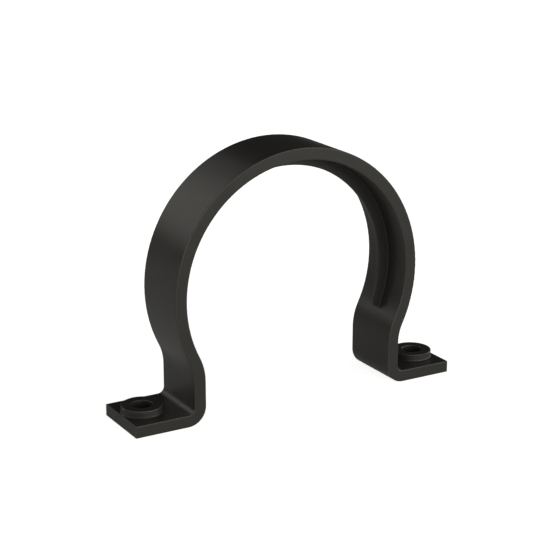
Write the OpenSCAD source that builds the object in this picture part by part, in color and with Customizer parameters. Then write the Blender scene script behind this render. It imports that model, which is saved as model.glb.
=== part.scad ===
// Conduit clamp: a one-piece moulded saddle for a large corrugated conduit.
// A flat strap runs from one foot, up a short leg, round the conduit and down to the other foot.
// X runs from foot to foot, Y along the conduit, Z away from the wall. The feet lie on Z = 0.

/* [Conduit] */
// Outside diameter of the corrugated conduit
conduit_d = 54.5; // [46:0.5:120]
// Radial gap between the conduit and the ring
seat_gap = 0.3; // [0:0.05:1.5]
// Gap between the conduit and the wall
wall_gap = 0.35; // [0:0.05:3]

/* [Strap] */
// Width of the strap along the conduit
strap_w = 15.2; // [11:0.1:40]
// Thickness of the strap
strap_t = 2.7; // [1.5:0.1:5]
// How far each leg stands inside the ring's inner wall
neck_inset = 4.2; // [2.5:0.1:6]
// Hollow radius of the neck, where the ring turns down into the leg
neck_r = 10; // [5:0.5:18]
// Hollow radius between the leg and the foot
foot_bend_r = 1.5; // [0.5:0.1:3]
// Small radius on the long edges of the strap and at the ends of the feet
edge_r = 0.2; // [0.1:0.05:0.4]

/* [Screw bosses] */
// Diameter of the screw hole
hole_d = 4.5; // [3:0.1:6.5]
// Diameter of the round boss
boss_d = 9.1; // [8:0.1:14]
// Height of the boss above the foot
boss_h = 1.6; // [0.6:0.1:4]
// Flat land between the foot bend and the boss
boss_land = 2.9; // [1:0.1:12]
// Land between the boss and the end of the foot
boss_toe = 0.5; // [0.5:0.1:12]
// Hollow radius at the root of the boss
boss_root_r = 0.25; // [0.1:0.05:0.6]
// Radius on the top edge of the boss and on the rim of the hole
boss_edge_r = 0.15; // [0.05:0.05:0.4]

/* [Rib] */
// Height of the rib inside the ring, which enters a groove of the conduit
rib_h = 2.6; // [1:0.1:4]
// Width of the rib
rib_w = 1.1; // [0.8:0.1:4]
// Distance along the ring from the end of the rib to the neck
rib_stop = 1; // [0.5:0.1:10]
// Hollow radius at the root of the rib
rib_root_r = 0.25; // [0.1:0.05:0.4]
// Radius on the edges of the rib's crest
rib_edge_r = 0.15; // [0.05:0.05:0.35]

/* [Hidden] */
$fn = 72;
plastic = [0.13, 0.13, 0.125];
// How far a cut or a limiting shape runs past the faces that it meets
overrun = 1;
// The least flat that a small radius leaves beside it
least_flat = 0.05;

// Ring, and the neck that it touches. The ring ends at this angle below the horizontal.
ring_r = conduit_d / 2 + seat_gap;
neck_reach = ring_r + strap_t + neck_r;
ring_end = thousandths(acos((neck_reach - neck_inset) / neck_reach));
neck_x = neck_reach * cos(ring_end);
neck_drop = neck_reach * sin(ring_end);

// Heights of the neck's centre and of the ring's centre above the wall
neck_z = thousandths(conduit_d / 2 + wall_gap - neck_drop);
ring_z = neck_z + neck_drop;

// Leg, bend and foot, measured from the neck's centre
leg_x = -neck_r - strap_t;
bend_r = foot_bend_r + strap_t;
foot_x = leg_x + bend_r;
screw_x = foot_x + boss_land + boss_d / 2;
foot_l = boss_land + boss_d + boss_toe;
root_r = min(boss_root_r, boss_toe - edge_r - least_flat);

// Rib, in degrees of the ring below the horizontal. It ends in a quarter round of its own height.
rib_end = ring_end - (rib_stop / ring_r) * 180 / PI;
rib_full = rib_end - 2 * asin(rib_h / (2 * ring_r));

// How deep the rib and the bosses are rooted in the strap
root_depth = strap_t / 2;

// Core inside the strap where ring and neck meet: how far in it lies, and its reach each way in degrees
core_inset = strap_t / 4;
core_turn = (strap_t / 4 / ring_r) * 180 / PI;

// A value to the nearest thousandth
function thousandths(value) = round(value * 1000) / 1000;

// A bar from x = 0 to the given length, with all four corners rounded
module rounded_bar(length, width, r) {
    translate([0, r - width / 2]) square([length, width - 2 * r]);
    translate([r, -width / 2]) square([length - 2 * r, width]);
    for (x = [r, length - r], y = [r - width / 2, width / 2 - r])
        translate([x, y]) circle(r);
}

// A bar from x = 0 to the given length, square at the start and rounded at the far corners
module blunt_bar(length, width, r) {
    translate([0, -width / 2]) square([length - r, width]);
    translate([length / 2, r - width / 2]) square([length / 2, width - 2 * r]);
    for (y = [r - width / 2, width / 2 - r])
        translate([length - r, y]) circle(r);
}

// The strap cut across: thickness along x, starting at 0, and width along y
module strap_section() {
    rounded_bar(strap_t, strap_w, edge_r);
}

// Turns a section round a centre of the side view, between two angles from +X towards +Z
module turn(centre_x, centre_z, from, to) {
    translate([centre_x, 0, centre_z])
        rotate([90, 0, 0])
            rotate_extrude(angle = to - from, start = from)
                children();
}

// Draws a shape of the side view across a width along the conduit
module across(width) {
    translate([0, width / 2, 0])
        rotate([90, 0, 0])
            linear_extrude(width) children();
}

// Sets its children at a point of the side view: first to whole millimetres, then to thousandths,
// then by what is left, so that the neck meets the ring exactly
module at_point(x, z) {
    fine_x = thousandths(x - floor(x));
    fine_z = thousandths(z - floor(z));
    translate([floor(x), 0, floor(z)])
        translate([fine_x, 0, fine_z])
            translate([x - floor(x) - fine_x, 0, z - floor(z) - fine_z])
                children();
}

// The band round the conduit, open towards the wall, from the ring's centre
module ring_band() {
    color(plastic)
        turn(0, 0, -ring_end, 180 + ring_end)
            translate([ring_r, 0]) strap_section();
}

// A core inside the right end of the band, which runs on into the neck and makes them one
module band_core() {
    color(plastic)
        turn(0, 0, -ring_end - core_turn, -ring_end + core_turn)
            translate([ring_r + core_inset, core_inset - strap_w / 2])
                square([strap_t - 2 * core_inset, strap_w - 2 * core_inset]);
}

// The rib cut across, from its root inside the band to its rounded crest
module rib_section() {
    r = min(rib_edge_r, rib_w / 2 - least_flat);
    translate([ring_r + root_depth, 0])
        mirror([1, 0])
            blunt_bar(root_depth + rib_h, rib_w, r);
    hollow = min(rib_root_r, rib_h - r - least_flat);
    foot_y = rib_w / 2 + hollow;
    translate([ring_r, -foot_y]) square([root_depth, 2 * foot_y]);
    difference() {
        translate([ring_r - hollow, -foot_y]) square([hollow, 2 * foot_y]);
        for (y = [-foot_y, foot_y])
            translate([ring_r - hollow, y]) circle(hollow);
    }
}

// Side view of the space that the rib may fill: the sector above its ends, and a disc at each end
module rib_limit() {
    far = 2 * ring_r;
    down = -far * sin(rib_full);
    side = far * cos(rib_full);
    polygon([[0, 0], [side, down], [side, far], [-side, far], [-side, down]]);
    for (x = [-ring_r, ring_r])
        translate([x * cos(rib_full), -ring_r * sin(rib_full)]) circle(rib_h);
}

// The narrow rib along the middle of the ring's inner wall, from the ring's centre
module rib() {
    color(plastic)
        intersection() {
            turn(0, 0, -ring_end, 180 + ring_end) rib_section();
            across(rib_w + 2 * overrun) rib_limit();
        }
}

// Neck, leg and bend on the right, from the neck's centre
module leg() {
    color(plastic) {
        turn(0, 0, 180 - ring_end, 180)
            translate([neck_r, 0]) strap_section();
        translate([leg_x, 0, bend_r - neck_z])
            linear_extrude(neck_z - bend_r) strap_section();
        turn(foot_x, bend_r - neck_z, 180, 270)
            translate([foot_bend_r, 0]) strap_section();
    }
}

// The flat foot on the right: the strap's own section, with its end rounded in plan and from the side
module foot() {
    color(plastic)
        translate([foot_x, 0, -neck_z])
            intersection() {
                linear_extrude(strap_t) blunt_bar(foot_l, strap_w, edge_r);
                translate([0, 0, strap_t / 2])
                    across(strap_w) blunt_bar(foot_l, strap_t, edge_r);
                rotate([90, 0, 90])
                    linear_extrude(foot_l)
                        translate([0, strap_t]) rotate(-90) strap_section();
            }
}

// Half outline of the boss from the hole's wall outwards: rounded rim, rounded edge and hollow root
module boss_outline() {
    wall = (boss_d - hole_d) / 2;
    r = min(boss_edge_r, wall / 2 - least_flat, boss_h - root_r - least_flat);
    translate([hole_d / 2, 0]) {
        translate([0, -root_depth]) square([wall, root_depth + boss_h - r]);
        translate([r, boss_h / 2]) square([wall - 2 * r, boss_h / 2]);
        for (x = [r, wall - r])
            translate([x, boss_h - r]) circle(r);
        translate([0, -root_depth]) square([wall + root_r, root_depth]);
        difference() {
            translate([wall, 0]) square(root_r);
            translate([wall + root_r, root_r]) circle(root_r);
        }
    }
}

// The round boss on the right foot, open along its screw hole
module screw_boss() {
    color(plastic)
        translate([screw_x, 0, strap_t - neck_z])
            rotate_extrude() boss_outline();
}

// One side of the clamp below the ring, drilled for its screw, from the neck's centre
module side() {
    leg();
    difference() {
        foot();
        translate([screw_x, 0, -neck_z - overrun])
            cylinder(h = strap_t + 2 * overrun, d = hole_d);
    }
    screw_boss();
}

// The whole moulding: ring and rib in the middle, and the same side on the right and on the left
module conduit_clamp() {
    at_point(0, ring_z) {
        ring_band();
        rib();
        band_core();
        mirror([1, 0, 0]) band_core();
    }
    at_point(neck_x, neck_z) side();
    mirror([1, 0, 0]) at_point(neck_x, neck_z) side();
}

conduit_clamp();
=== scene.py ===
"""Looks of a conduit clamp: one satin black moulding on a pale studio floor.

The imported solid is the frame: X runs from foot to foot, Y along the conduit and Z away from the
wall, in metres. The clamp keeps its solid's form and gets its moulded finish here, and the studio
round it has a pale floor, soft lamps and a camera at the photograph's angle.
"""

import logging
import math
from dataclasses import dataclass, field
from enum import Enum
from typing import Any, Union

import bpy
import numpy as np
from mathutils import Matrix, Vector

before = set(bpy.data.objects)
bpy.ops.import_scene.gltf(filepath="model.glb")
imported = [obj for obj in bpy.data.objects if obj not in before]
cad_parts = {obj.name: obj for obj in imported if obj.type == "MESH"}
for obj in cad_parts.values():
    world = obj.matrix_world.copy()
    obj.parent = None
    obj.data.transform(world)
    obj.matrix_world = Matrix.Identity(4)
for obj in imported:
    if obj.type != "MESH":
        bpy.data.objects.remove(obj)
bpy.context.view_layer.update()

# One millimetre in metres, and the width of the picture in pixels
MM = 0.001
IMAGE_WIDTH = 540

# Sockets of the Mix node for colours, which go by number because their names are shared
MIX_SHARE, MIX_START, MIX_END, MIX_COLOUR = 0, 6, 7, 2

# The value that an uneven pattern has on average
PATTERN_MIDDLE = 0.5

LOG = logging.getLogger("conduit_clamp")

Colour = tuple[float, float, float]
Point = tuple[float, float, float]
Number = Union[int, float]

WHITE: Colour = (1.0, 1.0, 1.0)


class Vision(Enum):
    """A kind of ray for which the floor and the room glow."""

    CAMERA = "Is Camera Ray"
    GLOSS = "Is Glossy Ray"
    THROUGH = "Is Transmission Ray"


class Wire:
    """A node's output, on which plain arithmetic adds Math nodes."""

    def __init__(self, board: "Board", socket: bpy.types.NodeSocket) -> None:
        """Keeps the board that the output's node stands on, and the output itself."""
        self.board = board
        self.socket = socket

    def _math(self, operation: str, *values: Union["Wire", Number]) -> "Wire":
        """Adds a Math node with the given operation and values, and gives its output."""
        return self.board.add("ShaderNodeMath", {"operation": operation}, dict(enumerate(values)))

    def __add__(self, other: Union["Wire", Number]) -> "Wire":
        """This value plus another."""
        return self._math("ADD", self, other)

    def __sub__(self, other: Union["Wire", Number]) -> "Wire":
        """This value less another."""
        return self._math("SUBTRACT", self, other)

    def __rsub__(self, other: Number) -> "Wire":
        """A number less this value."""
        return self._math("SUBTRACT", other, self)

    def __mul__(self, other: Union["Wire", Number]) -> "Wire":
        """This value times another."""
        return self._math("MULTIPLY", self, other)

    __radd__ = __add__
    __rmul__ = __mul__

    def at_least(self, other: Union["Wire", Number]) -> "Wire":
        """The larger of this value and another."""
        return self._math("MAXIMUM", self, other)

    def over(self, limit: Number) -> "Wire":
        """1 where this value is over the limit, and 0 elsewhere."""
        return self._math("GREATER_THAN", self, limit)

    def size(self) -> "Wire":
        """This value without its sign."""
        return self._math("ABSOLUTE", self)

    def near(self, centre: Number, reach: Number) -> "Wire":
        """1 at the centre, falling evenly to 0 at the reach on either side."""
        return (1 - (self - centre).size() * (1 / reach)).at_least(0)


class Board:
    """A node tree under construction."""

    def __init__(self, tree: bpy.types.NodeTree) -> None:
        """Clears the tree and keeps it."""
        self.tree = tree
        tree.nodes.clear()

    def add(self, kind: str, settings: dict[str, Any], inputs: dict[Union[str, int], Any],
            output: Union[str, int] = 0) -> Wire:
        """Adds one node of any type.

        Args:
            kind: Blender's name of the node's type.
            settings: The node's own settings, set first.
            inputs: Values or wires by the name or number of the socket.
            output: The output that is given back, by name or number.

        Returns:
            The chosen output as a wire.
        """
        node = self.tree.nodes.new(kind)
        for name, value in settings.items():
            setattr(node, name, value)
        for name, value in inputs.items():
            self.join(value, node.inputs[name])
        return Wire(self, node.outputs[output])

    def blend(self, share: Wire, start: Any, end: Any) -> Wire:
        """Adds a Mix node between two colours.

        Args:
            share: How much of the end colour there is, which the node keeps between 0 and 1.
            start: The colour, or the wire of one, where the share is 0.
            end: The colour, or the wire of one, where the share is 1.

        Returns:
            The mixed colour.
        """
        return self.add("ShaderNodeMix", {"data_type": "RGBA"}, {
            MIX_SHARE: share, MIX_START: start, MIX_END: end}, MIX_COLOUR)

    def join(self, value: Any, socket: bpy.types.NodeSocket) -> None:
        """Links a wire to a socket, or sets the socket to a plain value.

        Args:
            value: The wire or the plain value.
            socket: The input that takes it.
        """
        if isinstance(value, Wire):
            self.tree.links.new(value.socket, socket)
        else:
            socket.default_value = value

    def finish(self, kind: str, surface: Wire) -> None:
        """Adds the output node of the given type and joins the surface to it."""
        self.join(surface, self.tree.nodes.new(kind).inputs["Surface"])


def opaque(colour: Colour) -> tuple[float, ...]:
    """Gives a colour with full alpha, as a colour socket takes it."""
    return (*colour, 1.0)


def new_material(name: str) -> tuple[bpy.types.Material, Board]:
    """Makes an empty node material.

    Args:
        name: The material's name.

    Returns:
        The material, and the board of its nodes.
    """
    material = bpy.data.materials.new(name)
    material.use_nodes = True
    return material, Board(material.node_tree)


def background_rays(board: Board) -> tuple[Wire, Wire]:
    """Tells the rays that see the background apart.

    Args:
        board: The node tree that needs to know.

    Returns:
        1 for what the camera sees, straight or through the object, and 1 for what gloss mirrors.
    """
    camera, gloss, through = [
        board.add("ShaderNodeLightPath", {}, {}, ray.value) for ray in Vision]
    return camera.at_least(through), gloss


def add_to_scene(name: str, data: bpy.types.ID) -> bpy.types.Object:
    """Makes an object and links it to the scene.

    Args:
        name: The object's name.
        data: Its mesh, lamp or camera.

    Returns:
        The object.
    """
    thing = bpy.data.objects.new(name, data)
    bpy.context.scene.collection.objects.link(thing)
    return thing


def direction(azimuth: float, elevation: float) -> Vector:
    """The unit vector from the clamp towards a place on the sky round it.

    Args:
        azimuth: Degrees to the right of straight ahead, which is -Y.
        elevation: Degrees above the floor.

    Returns:
        Sine of the azimuth along X and its cosine against Y, both times the cosine of the
        elevation, with the sine of the elevation along Z.
    """
    side, up = math.radians(azimuth), math.radians(elevation)
    return Vector((math.sin(side) * math.cos(up), -math.cos(side) * math.cos(up), math.sin(up)))


@dataclass(frozen=True)
class Mottle:
    """An uneven pattern through space, between 0 and 1, with patches of one size in metres.

    The detail is the number of finer layers in it, the crumble is how strong they are, and the
    swirl is how far the patches are pulled out of shape.
    """

    size: float
    detail: float = 2.0
    crumble: float = 0.5
    swirl: float = 0.0

    def pattern(self, board: Board, place: Wire) -> Wire:
        """Adds the pattern to a material.

        Args:
            board: The material's board.
            place: The point on the piece.

        Returns:
            The pattern's value at the point.
        """
        return board.add("ShaderNodeTexNoise", {}, {
            "Vector": place, "Scale": 1 / self.size, "Detail": self.detail,
            "Roughness": self.crumble, "Distortion": self.swirl})


@dataclass(frozen=True)
class MouldedPlastic:
    """Satin black nylon from a lightly etched mould. Its lengths are in metres.

    The etching is a fine grain that tilts the surface a little and is duller where it stands up.
    Slow flow marks make it a touch paler and duller here and there, as the melt leaves them.
    The rounded edges carry a painted highlight, paler and smoother than the rest, in uneven
    lengths.
    They lie at the strap edge's distance from the middle of the strap, and at the boss rim's
    height beyond the distance from the clamp's middle at which the bosses start.
    """

    name: str = "satin_black_plastic"
    base: Colour = (0.0185, 0.0180, 0.0170)
    pale: Colour = (0.0235, 0.0228, 0.0215)
    roughness: float = 0.34
    specular: float = 0.3
    grain: Mottle = Mottle(0.16 * MM, crumble=0.55)
    grain_share: float = 0.3
    grain_dullness: float = 0.06
    grain_depth: float = 0.002 * MM
    grain_strength: float = 0.35
    flow: Mottle = Mottle(7.0 * MM, detail=3.0, swirl=0.6)
    flow_dullness: float = 0.05
    # Paler colour painted on the rounded edges as a highlight, with lower roughness there
    painted_highlight_colour: Colour = (0.085, 0.083, 0.078)
    highlight_gloss: float = 0.06
    highlight_breaks: Mottle = Mottle(3.0 * MM)
    highlight_least: float = 0.5
    highlight_spread: float = 0.8
    highlight_reach: float = 0.06 * MM
    strap_edge: float = 7.53 * MM
    boss_rim: float = 4.24 * MM
    boss_start: float = 29.0 * MM

    def material(self) -> bpy.types.Material:
        """Makes the material, driven by the piece's own coordinates in metres.

        Returns:
            The finished plastic.
        """
        material, board = new_material(self.name)
        place = board.add("ShaderNodeTexCoord", {}, {}, "Object")
        grain = self.grain.pattern(board, place)
        flow = self.flow.pattern(board, place)
        # Painted highlight: a paler, glossier band along the rounded edges, in uneven lengths
        highlight_share = self._highlight_band(board, place)
        paleness = flow * (1 - self.grain_share) + grain * self.grain_share
        moulded = board.blend(paleness, opaque(self.base), opaque(self.pale))
        dullness = ((flow - PATTERN_MIDDLE) * self.flow_dullness
                    + (grain - PATTERN_MIDDLE) * self.grain_dullness)
        normal = board.add("ShaderNodeBump", {}, {
            "Height": grain, "Strength": self.grain_strength, "Distance": self.grain_depth})
        board.finish("ShaderNodeOutputMaterial", board.add("ShaderNodeBsdfPrincipled", {}, {
            "Base Color": board.blend(highlight_share, moulded, opaque(self.painted_highlight_colour)),
            "Roughness": dullness - highlight_share * self.highlight_gloss + self.roughness,
            "Specular IOR Level": self.specular, "Normal": normal}))
        return material

    def _highlight_band(self, board: Board, place: Wire) -> Wire:
        """Finds the bands of painted highlight: along both sides of the strap, and round each
        boss and hole.

        Args:
            board: The material's board.
            place: The point on the piece.

        Returns:
            How much painted highlight the surface gets: 0 off the edges, and about 1 on them.
        """
        along, across, height = [
            board.add("ShaderNodeSeparateXYZ", {}, {"Vector": place}, axis) for axis in "XYZ"]
        strap = across.size().near(self.strap_edge, self.highlight_reach)
        rim = height.near(self.boss_rim, self.highlight_reach) * along.size().over(self.boss_start)
        lengths = self.highlight_breaks.pattern(board, place) * self.highlight_spread + self.highlight_least
        return strap.at_least(rim) * lengths


@dataclass
class Clamp:
    """The moulding itself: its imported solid, dressed in its plastic."""

    node: str = "conduit_clamp"
    finish: MouldedPlastic = MouldedPlastic()

    def build(self) -> bpy.types.Object:
        """Dresses the solid.

        Returns:
            The solid's object, where it was packed.
        """
        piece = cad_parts[self.node]
        piece.data.materials.clear()
        piece.data.materials.append(self.finish.material())
        return piece


@dataclass
class Floor:
    """A plain pale floor, a hair below the feet. Its lengths are in metres.

    It scatters the lamps' light as pale card does. For the camera it also glows, close to white
    beside the clamp and wholly white from further off, so that the clamp's shadow still shows
    faintly. In gloss its glow is dim.
    """

    reach: float = 3.0
    sides: int = 96
    drop: float = 0.05 * MM
    card: Colour = (0.62, 0.62, 0.62)
    near_glow: float = 0.85
    plain_from: float = 0.5
    mirrored_glow: float = 0.12

    def build(self) -> bpy.types.Object:
        """Makes the floor.

        It is one flat face whose corners stand at the reach from the middle, at even turns.

        Returns:
            The floor.
        """
        turn = np.linspace(0.0, 2.0 * math.pi, self.sides, endpoint=False)
        rim = np.column_stack((self.reach * np.cos(turn), self.reach * np.sin(turn),
                               np.full(self.sides, -self.drop)))
        mesh = bpy.data.meshes.new("floor")
        mesh.from_pydata(rim.tolist(), [], [tuple(range(self.sides))])
        mesh.materials.append(self._material())
        floor = add_to_scene("floor", mesh)
        return floor

    def _material(self) -> bpy.types.Material:
        """Makes the card, with a glow that only the rays of the background see.

        The glow rises evenly with the distance from the clamp until it is white, and stays white.

        Returns:
            The finished card.
        """
        material, board = new_material("white_card")
        material.cycles.emission_sampling = "NONE"
        seen, gloss = background_rays(board)
        away = board.add("ShaderNodeVectorMath", {"operation": "LENGTH"}, {
            0: board.add("ShaderNodeTexCoord", {}, {}, "Object")}, "Value")
        rise = away.near(self.plain_from, self.plain_from) * (1 - self.near_glow)
        card = board.add("ShaderNodeBsdfDiffuse", {}, {"Color": opaque(self.card)})
        glow = board.add("ShaderNodeEmission", {}, {
            "Color": (rise + self.near_glow).at_least(away.over(self.plain_from)),
            "Strength": seen.at_least(gloss * self.mirrored_glow)})
        board.finish("ShaderNodeOutputMaterial", board.add("ShaderNodeAddShader", {}, {
            0: card, 1: glow}))
        return material


@dataclass
class LampRow:
    """A row of soft lamps of one size at one height round the clamp, all facing it.

    The levels are each lamp's brightness by its azimuth in degrees, where 1 is white. The
    elevation is in degrees too, and the width, height and distance are in metres.
    """

    name: str
    elevation: float
    width: float
    height: float
    levels: dict[float, float]
    distance: float = 1.2
    tint: Colour = (1.0, 0.98, 0.92)

    def build(self) -> list[bpy.types.Object]:
        """Makes a lamp for each azimuth with its brightness, and gives them all."""
        return [self._lamp(azimuth, level) for azimuth, level in self.levels.items()]

    def _lamp(self, azimuth: float, level: float) -> bpy.types.Object:
        """Makes one lamp. Its power is its brightness times pi times its area.

        Args:
            azimuth: Degrees to the right of straight ahead.
            level: Brightness, where 1 is white.

        Returns:
            The lamp, which the camera doesn't see.
        """
        name = f"{self.name}_{azimuth:.0f}"
        lamp = bpy.data.lights.new(name, "AREA")
        lamp.shape = "RECTANGLE"
        lamp.size, lamp.size_y = self.width, self.height
        lamp.color = self.tint
        lamp.energy = level * math.pi * self.width * self.height
        thing = add_to_scene(name, lamp)
        way = direction(azimuth, self.elevation)
        thing.location = way * self.distance
        thing.rotation_euler = way.to_track_quat("Z", "Y").to_euler()
        thing.visible_camera = False
        return thing


@dataclass
class Studio:
    """The room, white to the camera and dim in gloss, with its floor and its lamps."""

    mirrored_room: float = 0.03
    floor: Floor = field(default_factory=Floor)
    rows: tuple[LampRow, ...] = (
        LampRow("front", elevation=10.0, width=1.24, height=0.84, distance=2.4, levels={
            -100: 2.5, -60: 1.5, -30: 1.5, 0: 5.0, 30: 6.0, 60: 5.5, 100: 2.5}),
        LampRow("high_front", elevation=32.0, width=0.55, height=0.50, levels={
            -30: 1.5, 0: 1.0}),
        LampRow("low_back", elevation=20.0, width=0.31, height=0.28, levels={
            195: 1.0, 210: 1.0, 225: 3.5}),
        LampRow("high_back", elevation=33.0, width=0.31, height=0.28, levels={
            180: 0.5, 195: 1.0, 210: 1.0}),
        LampRow("overhead", elevation=70.0, width=0.70, height=0.70, levels={60: 0.4}),
    )

    def build(self) -> None:
        """Makes the room's light, the floor and the lamps."""
        world = bpy.data.worlds.new("studio_room")
        bpy.context.scene.world = world
        world.use_nodes = True
        board = Board(world.node_tree)
        seen, gloss = background_rays(board)
        board.finish("ShaderNodeOutputWorld", board.add("ShaderNodeBackground", {}, {
            "Color": opaque(WHITE), "Strength": seen.at_least(gloss * self.mirrored_room)}))
        LOG.info("floor %s", self.floor.build().name)
        for row in self.rows:
            LOG.info("lamps %s: %d", row.name, len(row.build()))


@dataclass
class PhotoCamera:
    """The camera at the photograph's angle, level and aimed just beside the clamp's middle.

    The focal length is in pixels of the picture, the sensor's width is in millimetres, and the
    other lengths are in metres.
    """

    azimuth: float = -29.95
    elevation: float = 17.05
    distance: float = 350.9 * MM
    target: Point = (-3.3 * MM, 0.0, 29.44 * MM)
    focal_pixels: float = 1602.5
    sensor: float = 36.0
    nearest: float = 0.01
    farthest: float = 20.0

    def build(self) -> bpy.types.Object:
        """Makes the camera and gives it to the scene.

        Returns:
            The camera.
        """
        lens = bpy.data.cameras.new("camera")
        lens.sensor_width = self.sensor
        lens.lens = self.sensor * self.focal_pixels / IMAGE_WIDTH
        lens.clip_start, lens.clip_end = self.nearest, self.farthest
        camera = add_to_scene("camera", lens)
        way = direction(self.azimuth, self.elevation)
        camera.location = Vector(self.target) + way * self.distance
        camera.rotation_euler = way.to_track_quat("Z", "Y").to_euler()
        bpy.context.scene.camera = camera
        return camera


def main() -> None:
    """Builds the studio and the clamp, and reports each."""
    bpy.context.scene.view_settings.view_transform = "Standard"
    PhotoCamera().build()
    Studio().build()
    piece = Clamp().build()
    LOG.info("piece %s with %d faces", piece.name, len(piece.data.polygons))


if __name__ == "__main__":
    logging.basicConfig(level=logging.INFO, format="%(name)s: %(message)s")
    main()
